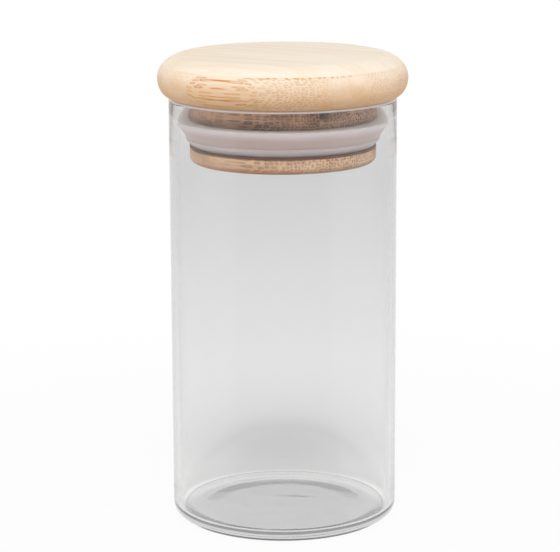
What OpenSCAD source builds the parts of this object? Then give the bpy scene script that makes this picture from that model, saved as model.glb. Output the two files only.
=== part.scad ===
// Lidded glass canister: a straight glass jar closed by a turned bamboo lid.
// The lid's plug hangs in the mouth of the jar and carries a silicone seal
// with two lips. The lid is turned from a glued block of four plies, and each
// ply is glued up from strips whose joints run along the bamboo's fibres.
//
// Frame: +Z up, millimetres, origin in the middle of the jar's base.
// The lid is drawn seated on the rim. It turns about Z and lifts along +Z.

/* [Jar] */
// Outside diameter of the jar
jar_d = 65; // [58:1:90]
// Height of the jar from its base to the top of its rim
jar_h = 123; // [90:1:180]
// Thickness of the glass wall
wall_t = 2; // [1.6:0.1:2.6]
// Thickness of the glass floor
floor_t = 3; // [2:0.1:5]
// Width of the soft outer corner at the base
base_round_w = 4.4; // [2:0.1:7]
// Height of the soft outer corner at the base
base_round_h = 3.7; // [2:0.1:7]
// Radius of the inner corner between the floor and the wall
floor_fillet_r = 1.4; // [1:0.1:5]

/* [Lid block] */
// Thickness of each of the three thick plies, one in the cap and two in the plug
core_ply_t = 9.3; // [8:0.1:11]
// Thickness of the thin ply that faces the top of the cap
face_ply_t = 2.7; // [1.5:0.1:4]
// Direction of the fibres, turned about Z from the X axis
fibre_angle = -30; // [-90:1:90]

/* [Cap] */
// How far the cap stands out past the jar all round
cap_overhang = 3.1; // [1:0.1:4.5]
// Height of the rounding below the cap's widest line
cap_under_round_h = 5.3; // [3:0.1:7]
// Width of the rounding above the widest line
cap_top_round_w = 8.2; // [3:0.1:12]
// How far the flat underside reaches out past the middle of the rim
seat_reach = 0.3; // [0:0.1:0.8]
// Gap left between the rim and the cap that rests on it
seat_gap = 0.1; // [0.05:0.01:0.3]

/* [Plug] */
// Gap all round between the plug's neck and the bore of the jar
neck_gap = 3.4; // [2.5:0.1:4.5]
// Gap all round between the plug's foot and the bore of the jar
foot_gap = 3.8; // [3.4:0.1:5]
// Height of the neck between the cap and the groove
neck_h = 6.2; // [4:0.1:7.5]
// Height of the groove that holds the seal
groove_h = 7.5; // [6:0.1:9]
// Depth of the groove, measured in from the bore of the jar
groove_gap = 6; // [5.4:0.1:7.5]
// Radius of the foot's rounded lower edge
foot_round_r = 1.9; // [0.8:0.1:2.2]

/* [Seal] */
// Gap between the seal and the groove, and between its upper lip and the bore
seal_gap = 0.1; // [0.05:0.01:0.2]
// Height of the lower lip
lower_lip_h = 2.1; // [1.5:0.1:2.6]
// How far the lower lip reaches out past the foot
lower_lip_reach = 1.2; // [0.8:0.1:2]
// Height of the upright edge at the top of the upper lip
lip_land_h = 0.8; // [0.4:0.1:1.5]
// Depth of the crease between the two lips
crease_depth = 0.4; // [0.2:0.1:1]

/* [Strips of the plies] */
// Width of the facing ply's edge strip
face_edge_w = 20; // [10:0.1:24]
// Full strips in the facing ply, sharing the rest of its width
face_full_strips = 2; // [1:1:5]
// Width of the edge strip of the cap's thick ply, a sliver on the front of the rim
cap_edge_w = 1.9; // [0.5:0.1:3]
// Full strips in the cap's thick ply
cap_full_strips = 3; // [1:1:5]
// Width of the edge strip of the upper plug ply
neck_edge_w = 10.2; // [6:0.1:16]
// Full strips in the upper plug ply
neck_full_strips = 2; // [1:1:4]
// Width of the edge strip of the lower plug ply
foot_edge_w = 7.1; // [4:0.1:14]
// Full strips in the lower plug ply
foot_full_strips = 2; // [1:1:4]

/* [Hidden] */
arc_steps = 12;                 // straight steps along each rounding
$fn = 240;

// Jar
jar_r = jar_d/2;
bore_r = jar_r - wall_t;
rim_r = wall_t/2;               // the rim is fire-polished to a full round
rim_mid_r = jar_r - rim_r;

// Heights of the lid, from the bottom of the plug to the top of the cap
cap_under = jar_h + seat_gap;
plug_bottom = cap_under - 2*core_ply_t;
ply_joint = cap_under - core_ply_t;
face_joint = cap_under + core_ply_t;
lid_top = face_joint + face_ply_t;
groove_top = cap_under - neck_h;
groove_bottom = groove_top - groove_h;

// Radii of the lid
cap_r = jar_r + cap_overhang;
seat_r = rim_mid_r + seat_reach;
neck_r = bore_r - neck_gap;
foot_r = bore_r - foot_gap;
groove_r = bore_r - groove_gap;

// Rounded edge of the cap
belly_z = cap_under + cap_under_round_h;
top_round_h = lid_top - belly_z;
under_round_w = cap_r - seat_r;
face_angle = asin((face_joint - belly_z)/top_round_h);
face_r = cap_r - cap_top_round_w + cap_top_round_w*cos(face_angle);

// Seal
seal_in_r = groove_r + seal_gap;
lip_r = bore_r - seal_gap;
seal_top = groove_top - seal_gap;
seal_bottom = groove_bottom + seal_gap;
lower_lip_r = foot_r + lower_lip_reach;
crease_r = lower_lip_r - crease_depth;
crease_z = seal_bottom + lower_lip_h;
crease_rise = 0.2;              // the crease opens upward by this much
upper_lip_bottom = crease_z + crease_rise;
lip_land_bottom = seal_top - lip_land_h;

// Points on an arc of half-width rw and half-height rh about (cx, cz), from
// angle a0 to angle a1; first = 1 leaves out a starting point already drawn
function arc(cx, cz, rw, rh, a0, a1, first = 0) =
    [for (i = [first : arc_steps])
        let (a = a0 + (a1 - a0)*i/arc_steps)
        [cx + rw*cos(a), cz + rh*sin(a)]];

// Where the joint in front of full strip k of a ply lies, measured across the
// fibres from the Z axis
function joint_at(ply_r, edge_w, full, k) =
    -ply_r + edge_w + (k - 1)*(2*ply_r - edge_w)/full;

// One strip of a ply: what is left of the child between two joints. Strip 0 is
// the edge strip and the last of the full strips runs out to the far edge.
module strip_of(ply_r, edge_w, full, k) {
    reach = 2*cap_r;
    low = k == 0 ? -reach : joint_at(ply_r, edge_w, full, k);
    high = k == full ? reach : joint_at(ply_r, edge_w, full, k + 1);
    intersection() {
        children();
        rotate([0, 0, fibre_angle])
            translate([-reach, low, plug_bottom - reach])
                cube([2*reach, high - low, lid_top - plug_bottom + 2*reach]);
    }
}

// Thin ply that faces the top of the cap
module face_ply() {
    round_r = cap_r - cap_top_round_w;
    rotate_extrude()
        polygon(concat(
            [[0, face_joint]],
            arc(round_r, belly_z, cap_top_round_w, top_round_h, face_angle, 90),
            [[0, lid_top]]));
}

// Thick ply of the cap, with its flat seat and its rounded edge
module cap_ply() {
    round_r = cap_r - cap_top_round_w;
    rotate_extrude()
        polygon(concat(
            [[0, cap_under]],
            arc(seat_r, belly_z, under_round_w, cap_under_round_h, -90, 0),
            arc(round_r, belly_z, cap_top_round_w, top_round_h, 0, face_angle, 1),
            [[0, face_joint]]));
}

// Upper ply of the plug: the neck and the upper part of the groove
module neck_ply() {
    rotate_extrude()
        polygon([
            [0, ply_joint],
            [groove_r, ply_joint],
            [groove_r, groove_top],
            [neck_r, groove_top],
            [neck_r, cap_under],
            [0, cap_under]]);
}

// Lower ply of the plug: the lower part of the groove and the foot
module foot_ply() {
    rotate_extrude()
        polygon(concat(
            [[0, plug_bottom]],
            arc(foot_r - foot_round_r, plug_bottom + foot_round_r,
                foot_round_r, foot_round_r, -90, 0),
            [[foot_r, groove_bottom],
             [groove_r, groove_bottom],
             [groove_r, ply_joint],
             [0, ply_joint]]));
}

// Jar: one piece of glass, open at the top
module glass_jar() {
    rim_z = jar_h - rim_r;
    color([0.84, 0.87, 0.87, 0.45])
        rotate_extrude()
            polygon(concat(
                [[0, 0]],
                arc(jar_r - base_round_w, base_round_h, base_round_w, base_round_h, -90, 0),
                arc(rim_mid_r, rim_z, rim_r, rim_r, 0, 180),
                arc(bore_r - floor_fillet_r, floor_t + floor_fillet_r,
                    floor_fillet_r, floor_fillet_r, 0, -90),
                [[0, floor_t]]));
}

// Seal: a ring in the groove with a small lower lip and a tall, flaring upper lip
module silicone_seal() {
    color([0.86, 0.83, 0.82, 0.9])
        rotate_extrude()
            polygon(concat(
                [[seal_in_r, seal_bottom]],
                arc(foot_r, crease_z, lower_lip_reach, lower_lip_h, -90, 0),
                [[crease_r, upper_lip_bottom],
                 [lip_r, lip_land_bottom],
                 [lip_r, seal_top],
                 [seal_in_r, seal_top]]));
}

// Strip k of the facing ply, counted from the front
module face_strip(k) {
    color([0.97, 0.92, 0.84])
        strip_of(face_r, face_edge_w, face_full_strips, k)
            face_ply();
}

// Strip k of the cap's thick ply, counted from the front
module cap_strip(k) {
    color([0.89, 0.77, 0.60])
        strip_of(cap_r, cap_edge_w, cap_full_strips, k)
            cap_ply();
}

// Strip k of the upper plug ply, counted from the front
module neck_strip(k) {
    color([0.74, 0.60, 0.46])
        strip_of(neck_r, neck_edge_w, neck_full_strips, k)
            neck_ply();
}

// Strip k of the lower plug ply, counted from the front
module foot_strip(k) {
    color([0.83, 0.69, 0.52])
        strip_of(foot_r, foot_edge_w, foot_full_strips, k)
            foot_ply();
}

silicone_seal();
for (k = [0 : face_full_strips])
    face_strip(k);
for (k = [0 : cap_full_strips])
    cap_strip(k);
for (k = [0 : neck_full_strips])
    neck_strip(k);
for (k = [0 : foot_full_strips])
    foot_strip(k);
glass_jar();
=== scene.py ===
"""Looks of a lidded glass canister: a straight glass jar, a silicone seal and a turned bamboo lid.

Everything is in metres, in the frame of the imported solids: +Z up, the origin in the middle of the
jar's base. Each solid is replaced by one turned piece of the same place and size.
"""

import logging
import math
from dataclasses import dataclass, field
from enum import Enum
from typing import Any, Sequence, Union

import bpy
from mathutils import Matrix, Vector


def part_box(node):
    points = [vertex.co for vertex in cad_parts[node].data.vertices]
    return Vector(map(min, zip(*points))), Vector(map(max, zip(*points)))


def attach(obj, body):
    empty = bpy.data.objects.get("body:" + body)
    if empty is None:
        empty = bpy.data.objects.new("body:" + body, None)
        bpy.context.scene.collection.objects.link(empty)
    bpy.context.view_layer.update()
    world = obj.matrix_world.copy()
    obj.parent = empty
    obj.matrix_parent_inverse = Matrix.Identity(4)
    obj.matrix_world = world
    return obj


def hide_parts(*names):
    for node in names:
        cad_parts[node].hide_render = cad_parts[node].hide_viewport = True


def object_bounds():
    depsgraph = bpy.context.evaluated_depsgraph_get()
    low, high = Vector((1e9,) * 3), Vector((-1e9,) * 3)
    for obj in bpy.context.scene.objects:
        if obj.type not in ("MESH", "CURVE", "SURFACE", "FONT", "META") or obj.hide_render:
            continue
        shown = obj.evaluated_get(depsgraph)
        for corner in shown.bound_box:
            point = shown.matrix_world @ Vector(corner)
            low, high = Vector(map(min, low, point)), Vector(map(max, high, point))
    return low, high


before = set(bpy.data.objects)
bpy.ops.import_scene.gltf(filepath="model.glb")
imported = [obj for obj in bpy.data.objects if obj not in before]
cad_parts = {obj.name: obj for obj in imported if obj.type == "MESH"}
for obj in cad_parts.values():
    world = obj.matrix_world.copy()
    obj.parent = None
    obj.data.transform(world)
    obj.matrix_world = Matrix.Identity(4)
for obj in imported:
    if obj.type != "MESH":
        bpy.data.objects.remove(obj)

CAD_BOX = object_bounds()
MM = 0.001

# steps of a full turn: for the opaque pieces, and for the glass, which shows every facet
TURN_STEPS = 288
JAR_STEPS = 576

# two points nearer than this, in metres, are one
WELD = 1e-6

# direction of the bamboo's fibres, turned about Z from the X axis
FIBRE_ANGLE = math.radians(-30.0)

Point = tuple[float, float]
Place = tuple[float, float, float]
Colour = tuple[float, float, float, float]

logging.basicConfig(level=logging.INFO, format="%(name)s: %(message)s")
log = logging.getLogger("canister")


def tone(code: str) -> Colour:
    """Turns a six-digit colour code, as a paint chart gives it, into linear light.

    Args:
        code: red, green and blue as two hexadecimal digits each.

    Returns:
        The colour as linear red, green, blue and an opacity of 1.
    """
    parts = [int(code[i:i + 2], 16) / 255 for i in (0, 2, 4)]
    linear = [c / 12.92 if c <= 0.04045 else ((c + 0.055) / 1.055) ** 2.4 for c in parts]
    return (linear[0], linear[1], linear[2], 1.0)


def grey(level: float) -> Colour:
    """A neutral colour of one linear level."""
    return (level, level, level, 1.0)


# ---------------------------------------------------------------- shader sums


class Wire:
    """One output of a shader node, which Python's operators can do sums with."""

    def __init__(self, recipe: "Recipe", socket: bpy.types.NodeSocket | None) -> None:
        """Keeps the socket, which an output node lacks, and the recipe that it belongs to."""
        self.recipe = recipe
        self.socket = socket

    def sibling(self, name: str) -> "Wire":
        """Another output of the same node."""
        return Wire(self.recipe, self.socket.node.outputs[name])

    def maths(self, operation: str, *values: "Value") -> "Wire":
        """Adds one Math node.

        Args:
            operation: the node's operation.
            values: its inputs, in order.

        Returns:
            The node's result.
        """
        return self.recipe.node("ShaderNodeMath", {"operation": operation}, dict(enumerate(values)))

    def __add__(self, other: "Value") -> "Wire":
        """self + other."""
        return self.maths("ADD", self, other)

    __radd__ = __add__

    def __mul__(self, other: "Value") -> "Wire":
        """self * other."""
        return self.maths("MULTIPLY", self, other)

    __rmul__ = __mul__

    def __sub__(self, other: "Value") -> "Wire":
        """self - other."""
        return self.maths("SUBTRACT", self, other)

    def __rsub__(self, other: "Value") -> "Wire":
        """other - self."""
        return self.maths("SUBTRACT", other, self)

    def __truediv__(self, other: "Value") -> "Wire":
        """self / other."""
        return self.maths("DIVIDE", self, other)

    def __abs__(self) -> "Wire":
        """The size of self."""
        return self.maths("ABSOLUTE", self)

    def larger(self, other: "Value") -> "Wire":
        """The larger of two numbers."""
        return self.maths("MAXIMUM", self, other)

    def step(self, low: float, high: float, to: Point = (0.0, 1.0)) -> "Wire":
        """Rises smoothly as self goes from low to high.

        Args:
            low: where the result is the first number of to.
            high: where it is the second.
            to: the two results.

        Returns:
            The eased result, held level beyond both ends.
        """
        turned = high < low
        first, last = (high, low) if turned else (low, high)
        start, stop = (to[1], to[0]) if turned else to
        return self.recipe.node("ShaderNodeMapRange", {"interpolation_type": "SMOOTHSTEP"},
                                {"Value": self, "From Min": first, "From Max": last,
                                 "To Min": start, "To Max": stop})


Value = Union[Wire, float, Sequence[float]]


class Recipe:
    """A node tree that is written as sums and as single nodes."""

    def __init__(self, tree: bpy.types.NodeTree) -> None:
        """Empties the tree."""
        self.tree = tree
        tree.nodes.clear()

    def node(self, kind: str, settings: dict[str, Any] | None = None,
             sockets: dict[Union[int, str], Value] | None = None,
             out: Union[int, str] = 0) -> Wire:
        """Adds one node.

        Args:
            kind: the node's type.
            settings: its own settings, set first.
            sockets: what its inputs hold or are linked to, by name or number.
            out: which output to hand back, by name, or by number among those in use.

        Returns:
            That output.
        """
        made = self.tree.nodes.new(kind)
        for name, value in (settings or {}).items():
            setattr(made, name, value)
        for key, value in (sockets or {}).items():
            target = made.inputs[key] if isinstance(key, int) else self._named(made, key)
            if isinstance(value, Wire):
                self.tree.links.new(value.socket, target)
            else:
                target.default_value = value
        if isinstance(out, str):
            return Wire(self, made.outputs[out])
        shown = [socket for socket in made.outputs if socket.enabled]
        return Wire(self, shown[out] if shown else None)

    @staticmethod
    def _named(made: bpy.types.Node, name: str) -> bpy.types.NodeSocket:
        """The input of that name that the node's settings leave in use."""
        return next(s for s in made.inputs if s.name == name and s.enabled)

    def blend(self, low: Value, high: Value, share: Value) -> Wire:
        """Mixes two colours: low at a share of 0, high at a share of 1."""
        return self.node("ShaderNodeMix", {"data_type": "RGBA"},
                         {"Factor": share, "A": low, "B": high})

    def either(self, share: Wire, first: Wire, second: Wire) -> Wire:
        """Mixes two shaders: the first at a share of 0, the second at a share of 1."""
        return self.node("ShaderNodeMixShader", None, {0: share, 1: first, 2: second})

    def clear(self, level: float) -> Wire:
        """A shader that lets light straight through, dimmed to a level."""
        return self.node("ShaderNodeBsdfTransparent", None, {"Color": grey(level)})

    def place(self, turn: float = 0.0) -> Wire:
        """The place on the object in millimetres, turned about Z by an angle in radians."""
        raw = self.node("ShaderNodeTexCoord", None, None, "Object")
        return self.node("ShaderNodeMapping", None,
                         {"Vector": raw, "Rotation": (0.0, 0.0, turn), "Scale": (1 / MM,) * 3})

    def vector(self, x: Value, y: Value, z: Value = 0.0) -> Wire:
        """Puts three numbers into one vector."""
        return self.node("ShaderNodeCombineXYZ", None, {0: x, 1: y, 2: z})

    def axis(self, vector: Wire, name: str) -> Wire:
        """The X, Y or Z of a vector. The other two are its siblings."""
        return self.node("ShaderNodeSeparateXYZ", None, {0: vector}, name)

    def flat(self, vector: Wire) -> Wire:
        """A vector without its height."""
        return self.node("ShaderNodeVectorMath", {"operation": "MULTIPLY"},
                         {0: vector, 1: (1.0, 1.0, 0.0)})

    def length(self, vector: Wire) -> Wire:
        """How long a vector is."""
        return self.node("ShaderNodeVectorMath", {"operation": "LENGTH"}, {0: vector}, "Value")

    def noise(self, place: Wire, detail: float = 2.0, roughness: float = 0.5,
              scale: float = 1.0, out: str = "Fac") -> Wire:
        """Soft noise at a place, from 0 to 1."""
        return self.node("ShaderNodeTexNoise", None,
                         {"Vector": place, "Scale": scale, "Detail": detail,
                          "Roughness": roughness}, out)

    def waves(self, axes: Sequence[Wire], per_mm: Sequence[float], detail: float = 2.0,
              roughness: float = 0.5) -> Wire:
        """Soft noise that is drawn out by different amounts along three axes.

        Args:
            axes: the three places, in millimetres.
            per_mm: how many waves a millimetre has on each of them.
            detail: how many finer layers the noise has.
            roughness: how strong those are.

        Returns:
            The noise, from 0 to 1.
        """
        spread = self.vector(*(axis * count for axis, count in zip(axes, per_mm)))
        return self.noise(spread, detail, roughness)

    def bump(self, height: Wire, strength: float, distance: float) -> Wire:
        """Turns a height into a surface normal; distance is in metres."""
        return self.node("ShaderNodeBump", None,
                         {"Strength": strength, "Distance": distance, "Height": height})

    def finish(self, shader: Wire, kind: str = "ShaderNodeOutputMaterial") -> None:
        """Links the last shader to the tree's output."""
        self.node(kind, None, {"Surface": shader})


def new_material(name: str) -> tuple[bpy.types.Material, Recipe]:
    """Makes an empty material.

    Args:
        name: the material's name.

    Returns:
        The material and the recipe that fills it.
    """
    material = bpy.data.materials.new(name)
    material.use_nodes = True
    return material, Recipe(material.node_tree)


# ------------------------------------------------------------------- finishes


class Slot(Enum):
    """The record's material slots."""

    GLASS = "glass"
    SILICONE = "silicone"
    FACE = "bamboo_face"
    CORE = "bamboo_core"


@dataclass(frozen=True)
class GlassFinish:
    """Clear borosilicate glass, drawn and fire-polished.

    Places are in millimetres. A tint is the share of the light that is left.

    Attributes:
        tint: the tint of one surface of the wall.
        floor_tint: that of the floor, which is thicker.
        floor_z: the height up to which the floor's tints hold.
        floor_edge: half the height over which they fade out.
        refraction: the index of refraction.
        shade_tint: what one surface of the wall leaves of a lamp's light.
        floor_shade: what one surface of the floor leaves of it.
        mirrors: light that was mirrored more often than this inside the glass is let out.
        deep_tint: the tint of the light let out inside corner_r.
        corner_tint: the tint of the light let out beyond it, where the corner is round.
        corner_r: the radius between the two.
        corner_edge: half the width over which they change.
        painted_line_r: the radius of a fine dark ring where the inner corner starts, painted shade
            for the dark line that the glass refracts there.
        painted_line_z: its height.
        painted_line_w: half its width.
        painted_line_core: the share of that width that has the full tint.
        painted_line_h: how far above and below its height it fades out, and from where on.
        painted_line_tint: its tint.
        rim_z: the height at which the painted highlight on the rim starts, a band of milky white
            for the rim's bright highlight.
        rim_edge: half the height over which it fades in.
        rim_highlight: how strongly the painted highlight covers the rim, from 0 to 1.
        highlight_white: the colour of the painted highlight.
        highlight_gloss: its roughness.
    """

    tint: float = 0.975
    floor_tint: float = 0.95
    floor_z: float = 3.4
    floor_edge: float = 0.3
    refraction: float = 1.47
    shade_tint: float = 0.93
    floor_shade: float = 0.8
    mirrors: float = 1.5
    deep_tint: float = 0.34
    corner_tint: float = 0.66
    corner_r: float = 28.0
    corner_edge: float = 1.0
    painted_line_r: float = 29.1
    painted_line_z: float = 3.0
    painted_line_w: float = 0.16
    painted_line_core: float = 0.4
    painted_line_h: Point = (0.4, 0.3)
    painted_line_tint: float = 0.2
    rim_z: float = 122.35
    rim_edge: float = 0.15
    rim_highlight: float = 0.85
    highlight_white: Colour = tone("f4f2f6")
    highlight_gloss: float = 0.3

    @staticmethod
    def pane(r: Recipe, first: float, second: float, share: Wire) -> Wire:
        """Lets light straight through, dimmed to the first level or to the second."""
        return r.either(share, r.clear(first), r.clear(second))

    def colour(self, r: Recipe, up: Wire, out: Wire, low: Wire) -> Wire:
        """The tint of the glass, with a fine dark ring of painted shade where the inner corner
        starts.

        Args:
            r: the recipe that the nodes go into.
            up: the height.
            out: the distance from the axis.
            low: 1 in the floor and 0 above it.

        Returns:
            The colour.
        """
        # painted shade: a fine dark ring where the inner corner starts, for the dark line that the
        # glass refracts there
        ring = abs(out - self.painted_line_r).step(self.painted_line_w, self.painted_line_w * self.painted_line_core)
        ring = ring * abs(up - self.painted_line_z).step(*self.painted_line_h)
        colour = r.blend(grey(self.tint), grey(self.floor_tint), low)
        return r.blend(colour, grey(self.painted_line_tint), ring)

    def make(self) -> bpy.types.Material:
        """Makes the material. Lamps and soft light pass straight through it.

        Returns:
            The glass.
        """
        material, r = new_material("clear_glass")
        place = r.place()
        up = r.axis(place, "Z")
        out = r.length(r.flat(place))
        low = up.step(self.floor_z + self.floor_edge, self.floor_z - self.floor_edge)
        body = r.node("ShaderNodeBsdfPrincipled", None,
                      {"Base Color": self.colour(r, up, out, low), "Roughness": 0.0,
                       "IOR": self.refraction, "Transmission Weight": 1.0})
        path = r.node("ShaderNodeLightPath", None, None, "Is Shadow Ray")
        deep = path.maths("GREATER_THAN", path.sibling("Glossy Depth"), self.mirrors)
        corner = out.step(self.corner_r - self.corner_edge, self.corner_r + self.corner_edge)
        body = r.either(deep, body, self.pane(r, self.deep_tint, self.corner_tint, corner))
        # painted highlight: a band of milky white glass at the rim stands in for the rim's bright
        # highlight
        rim_highlight_shader = r.node("ShaderNodeBsdfPrincipled", None,
                       {"Base Color": self.highlight_white, "Roughness": self.highlight_gloss,
                        "IOR": self.refraction})
        rim = up.step(self.rim_z - self.rim_edge, self.rim_z + self.rim_edge,
                      (0.0, self.rim_highlight))
        body = r.either(rim, body, rim_highlight_shader)
        passed = path.larger(path.sibling("Is Diffuse Ray"))
        r.finish(r.either(passed, body, self.pane(r, self.shade_tint, self.floor_shade, low)))
        return material


@dataclass(frozen=True)
class SiliconeFinish:
    """Milky silicone with a satin skin, warmer in the middle of its height.

    Heights are in millimetres. Two numbers that say where a colour changes are shares of the
    seal's height, from its bottom.

    Attributes:
        cool: the colour of the lower lip.
        warm: the colour of the middle.
        pale: the colour of the upper lip.
        painted_glow: the white of the top face, painted light for the light that the translucent
            lip lets through.
        painted_shade: the colour next to the foot, painted shade under the lower lip.
        painted_shade_share: how strong that is.
        warm_at: where cool turns warm.
        pale_at: where warm turns pale.
        painted_glow_at: how far below the top the painted light starts, and is full.
        painted_shade_at: how far above the bottom the painted shade starts, and is full.
        bottom: the height of the seal's bottom.
        top: the height of its top.
        cloud_waves: how many soft clouds a millimetre has.
        cloud_shift: how far they shift the colours, as a share of the seal's height.
        grain_waves: how many grains a millimetre has.
        satin: the least roughness of the skin, and what the grain adds to it.
        relief: the strength of the grain's bump.
        relief_depth: its depth, in metres.
        refraction: the index of refraction.
        clearness: the share of light that isn't scattered inside.
        scatter: how far red, green and blue scatter, against each other.
        scatter_depth: how far they scatter, in metres.
        passed: the share of a lamp's light and of soft light that passes straight through.
        passed_tint: the tint of that light.
    """

    cool: Colour = tone("d3c6c6")
    warm: Colour = tone("dac5bd")
    pale: Colour = tone("eee2e3")
    painted_glow: Colour = tone("ffffff")
    painted_shade: Colour = tone("a08a80")
    painted_shade_share: float = 0.3
    warm_at: Point = (0.1, 0.5)
    pale_at: Point = (0.6, 0.92)
    painted_glow_at: Point = (0.2, 0.08)
    painted_shade_at: Point = (0.9, 0.1)
    bottom: float = 109.5
    top: float = 116.8
    cloud_waves: float = 0.12
    cloud_shift: float = 0.12
    grain_waves: float = 2.5
    satin: Point = (0.38, 0.1)
    relief: float = 0.12
    relief_depth: float = 0.04 * MM
    refraction: float = 1.41
    clearness: float = 0.12
    scatter: tuple[float, float, float] = (1.0, 0.9, 0.85)
    scatter_depth: float = 3.0 * MM
    passed: float = 0.15
    passed_tint: float = 0.9

    def colour(self, r: Recipe, place: Wire) -> Wire:
        """The colour of the skin, by height, with painted light on the top face and painted shade
        under the lower lip.

        Args:
            r: the recipe that the nodes go into.
            place: the place on the seal, in millimetres.

        Returns:
            The colour.
        """
        up = r.axis(place, "Z")
        height = (up - self.bottom) / (self.top - self.bottom)
        cloud = r.noise(place, detail=3.0, scale=self.cloud_waves)
        lifted = height + (cloud - 0.5) * self.cloud_shift
        colour = r.blend(self.cool, self.warm, lifted.step(*self.warm_at))
        colour = r.blend(colour, self.pale, lifted.step(*self.pale_at))
        # painted light on the top face, for the light that the translucent lip lets through
        painted_glow = up.step(*(self.top - below for below in self.painted_glow_at))
        colour = r.blend(colour, self.painted_glow, painted_glow)
        # painted shade under the lower lip, next to the foot
        painted_shade = up.step(*(self.bottom + above for above in self.painted_shade_at))
        return r.blend(colour, self.painted_shade, painted_shade * self.painted_shade_share)

    def make(self) -> bpy.types.Material:
        """Makes the material.

        Returns:
            The silicone.
        """
        material, r = new_material("milky_silicone")
        place = r.place()
        grain = r.noise(place, detail=3.0, roughness=0.6, scale=self.grain_waves)
        skin = r.node("ShaderNodeBsdfPrincipled", None,
                      {"Base Color": self.colour(r, place),
                       "Roughness": grain * self.satin[1] + self.satin[0],
                       "Normal": r.bump(grain, self.relief, self.relief_depth),
                       "IOR": self.refraction, "Transmission Weight": self.clearness,
                       "Subsurface Weight": 1.0, "Subsurface Radius": self.scatter,
                       "Subsurface Scale": self.scatter_depth})
        path = r.node("ShaderNodeLightPath", None, None, "Is Shadow Ray")
        passed = path.larger(path.sibling("Is Diffuse Ray")) * self.passed
        r.finish(r.either(passed, skin, r.clear(self.passed_tint)))
        return material


# waves a millimetre: along the fibres, across them and up
FIBRE_WAVES = (0.06, 3.2, 3.2)
BROAD_WAVES = (0.015, 0.22, 0.3)
PATCH_WAVES = (0.02, 0.11, 0.16)
TORN_WAVES = (0.16, 0.9, 0.9)

# where these waves start to count and where they count in full, on their scale from 0 to 1
FIBRE_EDGE = (0.45, 0.85)
BROAD_EDGE = (0.35, 0.68)
PATCH_EDGE = (0.3, 0.62)
TORN_EDGE = (0.4, 0.6)

# how strong the bundles are where the patches are weakest
PATCH_FAINT = 0.55

# the edges of a bundle and of its pale middle, in shares of the bundle's half-width. For where
# each starts and where it is full: its place without a ring, and how far a full ring moves it
BODY_EDGE = ((1.2, 0.15), (0.75, 0.3))
HEART_EDGE = ((0.62, 0.28), (0.2, 0.45))

# how far one step of the seed moves the pattern, in millimetres
SEED_SIDE = 17.3
SEED_RISE = 5.1

# the row of cut bundles: its spacing, how far from its middle a bundle starts and is full,
# sideways and upwards, and where the row starts and ends along the fibres
DASH_SPACING = 1.0
DASH_WIDTH = (0.36, 0.16)
DASH_RISE = (0.24, 0.08)
DASH_NEAR = (4.0, 9.0)
DASH_FAR = (34.0, 27.0)

AMBER = tone("dc9a48")
# the colour of the painted shadow that the seal's lip casts on the foot
LIP_SHADOW_COLOUR = tone("5c2a0a")
# the colour of a dark grey patch on the neck
GREY_PATCH = tone("3b3531")

# the dark grey patch: how strong it is, where it comes up across the fibres, towards the front, and
# how strong it is farther in
GREY_PATCH_SHARE = 0.9
GREY_PATCH_FADE = (-13.0, -16.5)
GREY_PATCH_FAINT = 0.3


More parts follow.
